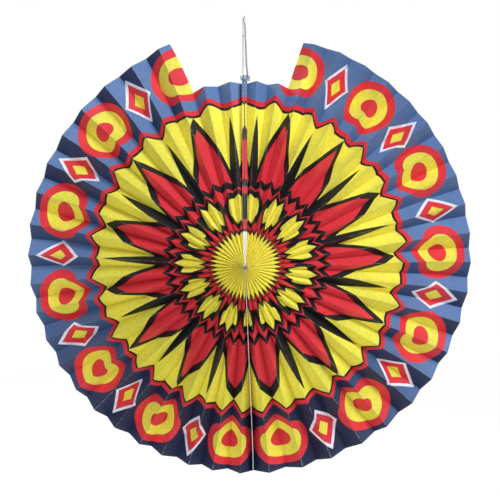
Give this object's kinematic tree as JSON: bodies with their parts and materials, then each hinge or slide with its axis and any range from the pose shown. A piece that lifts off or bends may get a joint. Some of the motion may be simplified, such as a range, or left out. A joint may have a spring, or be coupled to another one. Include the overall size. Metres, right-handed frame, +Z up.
{
  "type": "round paper lantern",
  "caption": "Round pleated paper lantern with a printed sunburst, glued at the rim, open in a notch at the top and hung by a wire bail.",
  "frame": {"origin": "inside top of the wire eye, where a hook carries the lantern", "axes": "+Z up, +X to the right of the front face, +Y from the front face to the back"},
  "size_m": [0.421, 0.217, 0.4371],
  "materials": {
    "printed_paper": "matte",
    "white_card": "matte",
    "galvanised_wire": "satin",
    "white_thread": "matte"
  },
  "bodies": {
    "root": {"front_right_sheet": "printed_paper", "front_left_sheet": "printed_paper", "back_right_sheet": "printed_paper", "back_left_sheet": "printed_paper", "front_right_end_card": "white_card", "front_left_end_card": "white_card", "back_right_end_card": "white_card", "back_left_end_card": "white_card", "wire_bail": "galvanised_wire", "front_gather_thread": "white_thread", "back_gather_thread": "white_thread"}
  },
  "joints": []
}
